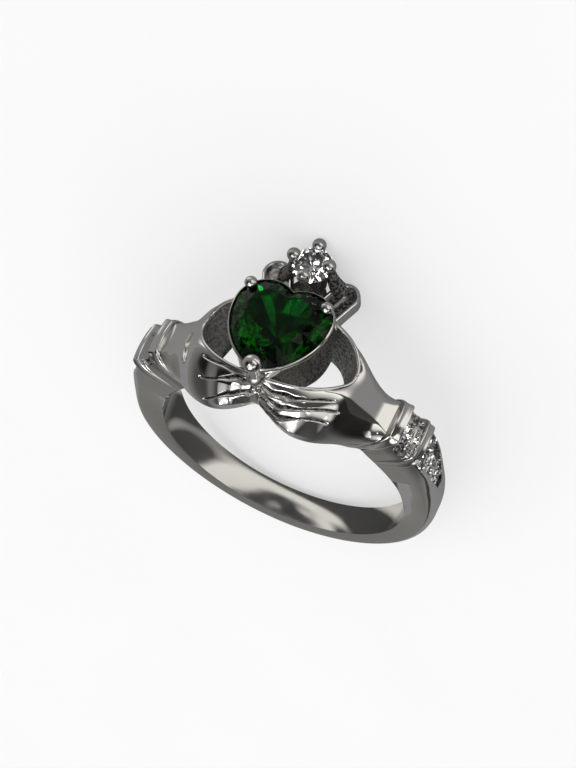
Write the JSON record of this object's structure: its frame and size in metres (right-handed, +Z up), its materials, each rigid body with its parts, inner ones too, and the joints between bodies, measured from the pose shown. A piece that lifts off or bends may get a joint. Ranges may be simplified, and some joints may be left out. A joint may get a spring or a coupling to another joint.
{
  "type": "claddagh ring",
  "caption": "Claddagh ring: two hands hold a faceted heart stone under a crown with a round stone, on a tapering band with barred, stone-set cuffs.",
  "frame": {"origin": "centre of the finger hole, in the middle of the plain band's width", "axes": "the ring lies on its side as on a table: +Z is up, the head points to -Y, and the finger hole's axis leans 14.5 degrees from +Z towards +Y"},
  "size_m": [0.0214, 0.0256, 0.0106],
  "materials": {
    "white_gold": "polished, rhodium-plated",
    "green_stone": "faceted and polished",
    "clear_stone": "faceted and polished"
  },
  "bodies": {
    "root": {"band_and_setting": "white_gold", "heart_stone": "green_stone", "crown_stone": "clear_stone", "cuff_stone_left_1": "clear_stone", "cuff_stone_left_2": "clear_stone", "cuff_stone_left_3": "clear_stone", "cuff_stone_right_1": "clear_stone", "cuff_stone_right_2": "clear_stone", "cuff_stone_right_3": "clear_stone", "shoulder_stone_left_1": "clear_stone", "shoulder_stone_left_2": "clear_stone", "shoulder_stone_left_3": "clear_stone", "shoulder_stone_left_4": "clear_stone", "shoulder_stone_right_1": "clear_stone", "shoulder_stone_right_2": "clear_stone", "shoulder_stone_right_3": "clear_stone", "shoulder_stone_right_4": "clear_stone"}
  },
  "joints": []
}
